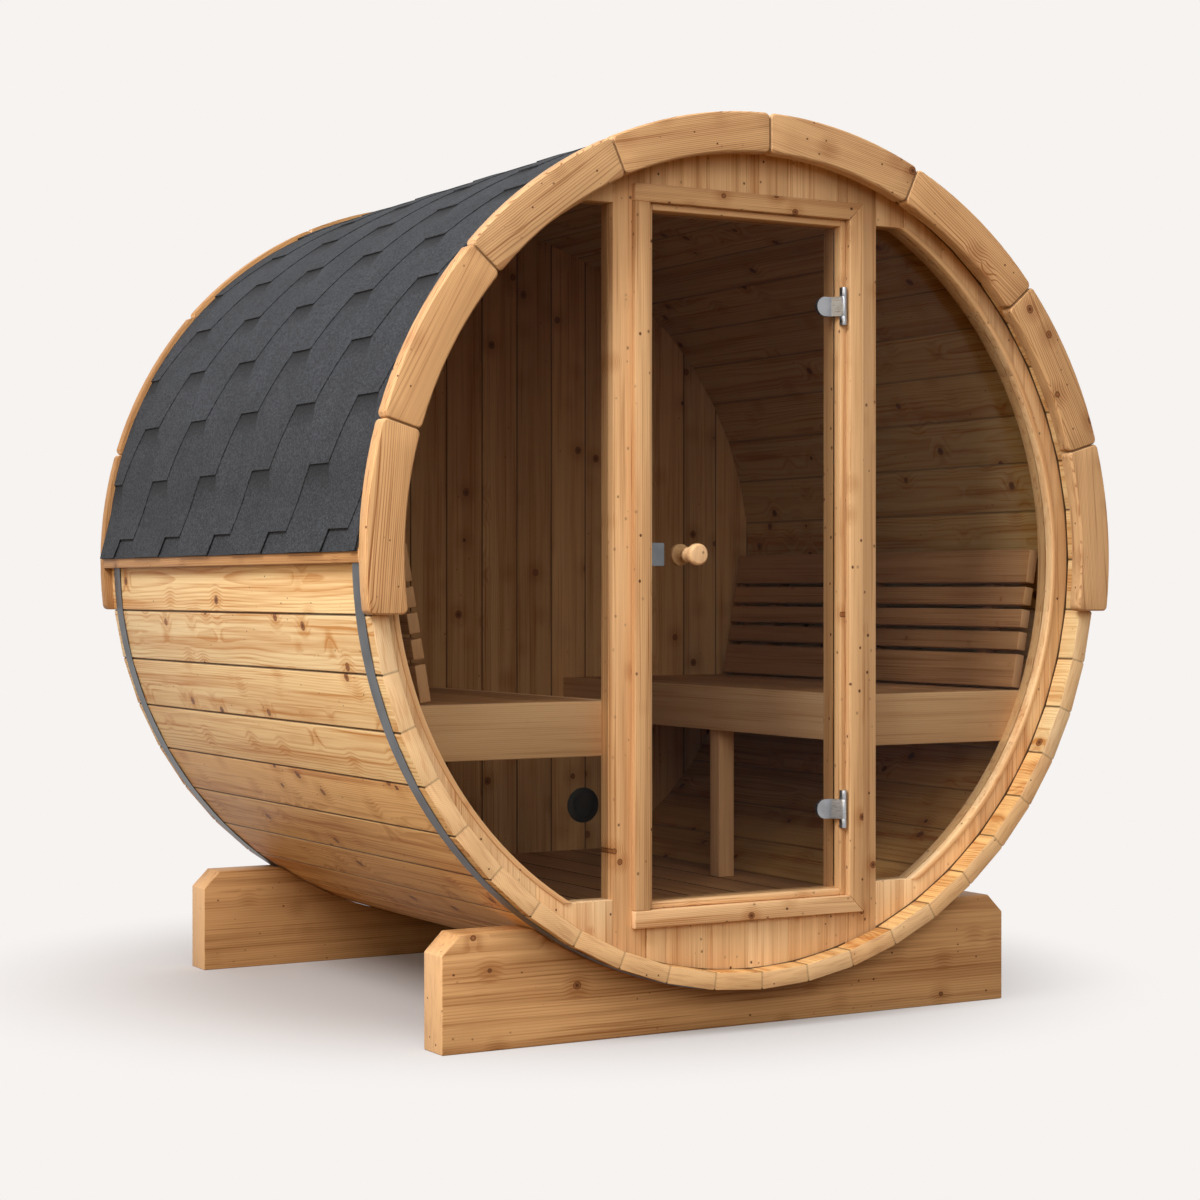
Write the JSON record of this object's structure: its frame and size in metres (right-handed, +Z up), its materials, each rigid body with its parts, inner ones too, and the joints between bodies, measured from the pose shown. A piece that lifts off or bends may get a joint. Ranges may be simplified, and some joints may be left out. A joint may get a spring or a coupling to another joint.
{
  "type": "barrel sauna",
  "caption": "Round timber barrel sauna on cross cradles, with shingled upper half, arc trim, steel hoops, glazed front, outward-opening glass door and benches inside.",
  "frame": {"origin": "on the ground under the middle of the barrel", "axes": "+X to the right seen from the front, +Y to the back along the barrel, +Z up; the door is in the -Y end"},
  "size_m": [2.1476, 1.772, 2.2009],
  "materials": {
    "stave_wood": "oiled softwood, satin",
    "trim_wood": "oiled softwood, satin",
    "wall_wood": "oiled softwood, satin",
    "cradle_wood": "oiled softwood, satin",
    "cabin_wood": "oiled softwood, satin",
    "glass": "clear toughened glass, lightly tinted",
    "hinge_metal": "satin",
    "hoop_steel": "dark grey, satin",
    "roof_felt": "mineral grit on bitumen, matte",
    "vent_plastic": "black, matte"
  },
  "bodies": {
    "cabin": {"air_vent": "vent_plastic", "backrest_left": "cabin_wood", "backrest_right": "cabin_wood", "backrest_uprights": "cabin_wood", "bench_aprons": "cabin_wood", "bench_ends": "cabin_wood", "bench_leg": "cabin_wood", "bench_rails": "cabin_wood", "bench_seat_left": "cabin_wood", "bench_seat_right": "cabin_wood", "cradle_front": "cradle_wood", "cradle_rear": "cradle_wood", "door_casing": "wall_wood", "door_lining": "wall_wood", "eave_battens": "stave_wood", "floor": "cabin_wood", "floor_bearers": "cabin_wood", "front_post_left": "wall_wood", "front_post_right": "wall_wood", "front_rim_left": "wall_wood", "front_rim_right": "wall_wood", "front_wall_head": "wall_wood", "front_wall_sill": "wall_wood", "hinge_frame_lower": "hinge_metal", "hinge_frame_upper": "hinge_metal", "hoops": "hoop_steel", "inner_casing": "wall_wood", "pane_left": "glass", "pane_right": "glass", "rear_wall": "wall_wood", "roof": "roof_felt", "staves_bottom_left": "stave_wood", "staves_bottom_right": "stave_wood", "staves_side_left": "stave_wood", "staves_side_right": "stave_wood", "staves_top_left": "stave_wood", "staves_top_right": "stave_wood", "trim_front": "trim_wood", "trim_rear": "trim_wood"},
    "door": {"door_glass": "glass", "door_knob": "wall_wood", "door_catch": "hinge_metal", "hinge_leaf_upper": "hinge_metal", "hinge_leaf_lower": "hinge_metal"}
  },
  "joints": [
    {"name": "door_swing", "type": "hinge", "parent": "cabin", "child": "door", "pos_m": [0.276, -0.799, 1.141], "axis": [0, 0, 1], "range_deg": [0, 110]}
  ]
}
